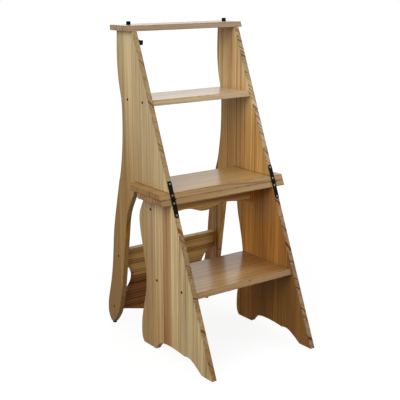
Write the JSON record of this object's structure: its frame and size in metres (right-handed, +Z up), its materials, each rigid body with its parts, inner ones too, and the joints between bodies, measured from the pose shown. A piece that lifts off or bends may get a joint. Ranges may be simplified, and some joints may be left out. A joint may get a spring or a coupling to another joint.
{
  "type": "folding step stool chair",
  "caption": "Wooden step ladder whose upper half turns over on hinges to make a chair with a seat, legs and a backrest.",
  "frame": {"origin": "on the floor under the middle of the ladder's whole outline", "axes": "+X to the right as one faces the treads, +Y from the front feet to the legs behind, +Z up. Rest pose is the open ladder."},
  "size_m": [0.423, 0.5242, 0.8995],
  "materials": {
    "pine_panels": "satin varnish over edge glued pine, grain upright",
    "pine_boards": "satin varnish over pine, grain along the boards",
    "pine_backrest": "satin varnish over darker striped pine",
    "beech_dowels": "bare beech",
    "black_steel": "satin black lacquer",
    "bright_steel": "zinc plated",
    "dark_steel": "dark bronzed",
    "rubber": "matt black"
  },
  "bodies": {
    "lower_frame": {"apron_left_screw_1": "dark_steel", "apron_right_screw_1": "dark_steel", "latch_peg": "black_steel", "left_hinge_lower_leaf": "black_steel", "left_hinge_lower_screw_1": "bright_steel", "left_hinge_lower_screw_2": "bright_steel", "left_hinge_pin": "black_steel", "lower_apron": "pine_boards", "lower_left_panel": "pine_panels", "lower_right_panel": "pine_panels", "lower_seat_board": "pine_boards", "lower_seat_left_dowel_1": "beech_dowels", "lower_seat_left_dowel_2": "beech_dowels", "lower_seat_right_dowel_1": "beech_dowels", "lower_seat_right_dowel_2": "beech_dowels", "lower_step": "pine_boards", "lower_step_left_screw_1": "dark_steel", "lower_step_left_screw_2": "dark_steel", "lower_step_right_screw_1": "dark_steel", "lower_step_right_screw_2": "dark_steel", "right_hinge_lower_leaf": "black_steel", "right_hinge_lower_screw_1": "bright_steel", "right_hinge_lower_screw_2": "bright_steel", "right_hinge_pin": "black_steel"},
    "upper_frame": {"backrest_board": "pine_backrest", "backrest_left_screw_1": "dark_steel", "backrest_left_screw_2": "dark_steel", "backrest_right_screw_1": "dark_steel", "backrest_right_screw_2": "dark_steel", "latch_pivot": "black_steel", "left_hinge_upper_leaf": "black_steel", "left_hinge_upper_screw_1": "bright_steel", "left_hinge_upper_screw_2": "bright_steel", "left_leg_pad": "rubber", "left_top_pad": "rubber", "right_hinge_upper_leaf": "black_steel", "right_hinge_upper_screw_1": "bright_steel", "right_hinge_upper_screw_2": "bright_steel", "right_leg_pad": "rubber", "right_top_pad": "rubber", "top_board": "pine_boards", "top_board_left_dowel_1": "beech_dowels", "top_board_left_dowel_2": "beech_dowels", "top_board_right_dowel_1": "beech_dowels", "top_board_right_dowel_2": "beech_dowels", "upper_left_panel": "pine_panels", "upper_right_panel": "pine_panels", "upper_seat_board": "pine_boards", "upper_seat_left_dowel_1": "beech_dowels", "upper_seat_left_dowel_2": "beech_dowels", "upper_seat_right_dowel_1": "beech_dowels", "upper_seat_right_dowel_2": "beech_dowels", "upper_step": "pine_boards", "upper_step_left_screw_1": "dark_steel", "upper_step_left_screw_2": "dark_steel", "upper_step_right_screw_1": "dark_steel", "upper_step_right_screw_2": "dark_steel"},
    "latch_hook": {"latch_hook": "black_steel"}
  },
  "joints": [
    {"name": "fold", "type": "hinge", "parent": "lower_frame", "child": "upper_frame", "pos_m": [0, -0.08253, 0.45], "axis": [1, 0, 0], "range_deg": [0, 180]},
    {"name": "latch_swivel", "type": "hinge", "parent": "upper_frame", "child": "latch_hook", "pos_m": [-0.164, 0.09078, 0.847], "axis": [1, 0, 0], "range_deg": [-128, 112]}
  ]
}
